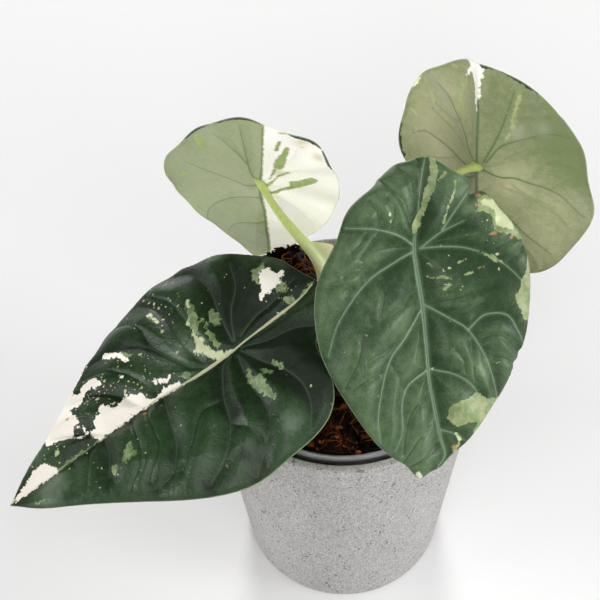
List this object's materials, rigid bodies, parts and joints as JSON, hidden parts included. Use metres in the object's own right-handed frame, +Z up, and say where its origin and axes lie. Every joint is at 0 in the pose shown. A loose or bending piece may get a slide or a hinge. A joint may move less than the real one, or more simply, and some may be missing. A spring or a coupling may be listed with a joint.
{
  "type": "potted alocasia",
  "caption": "Young variegated alocasia with hanging shield-shaped leaves, rooted in a clear nursery pot inside a tall tapered concrete-look planter.",
  "frame": {"origin": "middle of the planter's flat base", "axes": "+Z up along the planter's axis, -Y towards the two leaves that show their upper faces"},
  "size_m": [0.2629, 0.1782, 0.2892],
  "materials": {
    "concrete": "matte, finely pored",
    "smoky_plastic": "clear smoky",
    "potting_mix": "loose bark and coir",
    "crown": "matte",
    "leaf_stalk": "satin",
    "leaf_dark": "satin, quilted, cream marks",
    "leaf_mid": "velvety, quilted, lime marks",
    "leaf_cream": "satin, half cream",
    "leaf_olive": "satin, cream marks"
  },
  "bodies": {
    "root": {"planter": "concrete", "nursery_pot": "smoky_plastic", "potting_mix": "potting_mix", "rhizome": "crown", "petiole_a": "leaf_stalk", "petiole_b": "leaf_stalk", "petiole_c": "leaf_stalk", "petiole_d": "leaf_stalk", "leaf_a": "leaf_dark", "leaf_b": "leaf_mid", "leaf_c": "leaf_cream", "leaf_d": "leaf_olive"}
  },
  "joints": []
}
